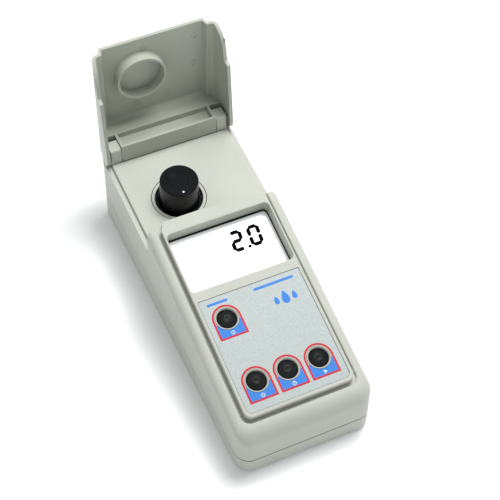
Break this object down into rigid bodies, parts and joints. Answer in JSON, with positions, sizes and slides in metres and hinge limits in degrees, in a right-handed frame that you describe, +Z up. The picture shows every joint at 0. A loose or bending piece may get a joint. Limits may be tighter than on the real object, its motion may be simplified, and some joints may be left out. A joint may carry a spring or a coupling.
{
  "type": "portable wine photometer",
  "caption": "Handheld bench photometer for wine: sloping panel with screen and domed buttons, sample well with capped vial, flip-up light lid.",
  "frame": {"origin": "on the table under the middle of the whole object with its lid open", "axes": "+X to the user's right, +Y from the low front edge to the hinge at the rear, +Z up"},
  "size_m": [0.085, 0.2302, 0.1311],
  "materials": {
    "case_plastic": "fine moulded texture, warm light grey",
    "lid_plastic": "fine moulded texture, warm light grey",
    "rubber": "matt black",
    "label_film": "silver-grey speckled film with plain button fields",
    "screen_glass": "white reflective display, dark digits",
    "black_plastic": "satin black",
    "board_laminate": "green solder mask",
    "chip_plastic": "black epoxy",
    "steel": "plated steel",
    "battery_wrap": "plain printed steel can",
    "vial_glass": "clear glass",
    "foam": "closed-cell foam",
    "filter_brass": "brass rim"
  },
  "bodies": {
    "case": {"bottom_shell": "case_plastic", "top_shell": "case_plastic", "battery": "battery_wrap", "battery_snap": "rubber", "panel_label": "label_film", "screen_glass": "screen_glass", "screen_backing": "steel", "screen_connector": "rubber", "screen_frame": "black_plastic", "main_board": "board_laminate", "controller_chip": "chip_plastic", "amplifier_chip": "chip_plastic", "voltage_regulator": "chip_plastic", "buzzer": "black_plastic", "board_screw_left": "steel", "board_screw_right": "steel", "well_collar": "case_plastic", "sample_holder": "black_plastic", "holder_gasket": "foam", "lamp_housing": "black_plastic", "lamp": "vial_glass", "light_lens": "vial_glass", "light_filter": "filter_brass", "detector_housing": "black_plastic", "photocell": "steel", "detector_board": "board_laminate", "switch_power": "black_plastic", "switch_zero": "black_plastic", "switch_timer": "black_plastic", "switch_read": "black_plastic", "case_screw_1": "steel", "foot_1": "rubber", "case_screw_2": "steel", "foot_2": "rubber", "case_screw_3": "steel", "foot_3": "rubber", "case_screw_4": "steel", "foot_4": "rubber"},
    "lid": {"flip_lid": "lid_plastic", "hinge_pin_left": "steel", "hinge_pin_right": "steel"},
    "door": {"battery_door": "case_plastic"},
    "vial": {"sample_vial": "vial_glass"},
    "cap": {"vial_cap": "black_plastic"},
    "key_power": {"button_power": "rubber"},
    "key_zero": {"button_zero": "rubber"},
    "key_timer": {"button_timer": "rubber"},
    "key_read": {"button_read": "rubber"}
  },
  "joints": [
    {"name": "lid_hinge", "type": "hinge", "parent": "case", "child": "lid", "pos_m": [0, 0.0953, 0.0619], "axis": [-1, 0, 0], "range_deg": [-100, 0]},
    {"name": "door_slide", "type": "slide", "parent": "case", "child": "door", "axis": [0, -1, 0], "range_m": [0, 0.0118]},
    {"name": "vial_lift", "type": "slide", "parent": "case", "child": "vial", "axis": [0, -0.0649, 0.9979], "range_m": [0, 0.062]},
    {"name": "cap_lift", "type": "slide", "parent": "vial", "child": "cap", "axis": [0, -0.0649, 0.9979], "range_m": [0, 0.016]},
    {"name": "press_power", "type": "slide", "parent": "case", "child": "key_power", "axis": [0, 0.2076, -0.9782], "range_m": [0, 0.001], "stiffness_N_per_m": 600},
    {"name": "press_zero", "type": "slide", "parent": "case", "child": "key_zero", "axis": [0, 0.2076, -0.9782], "range_m": [0, 0.001], "stiffness_N_per_m": 600},
    {"name": "press_timer", "type": "slide", "parent": "case", "child": "key_timer", "axis": [0, 0.2076, -0.9782], "range_m": [0, 0.001], "stiffness_N_per_m": 600},
    {"name": "press_read", "type": "slide", "parent": "case", "child": "key_read", "axis": [0, 0.2076, -0.9782], "range_m": [0, 0.001], "stiffness_N_per_m": 600}
  ]
}
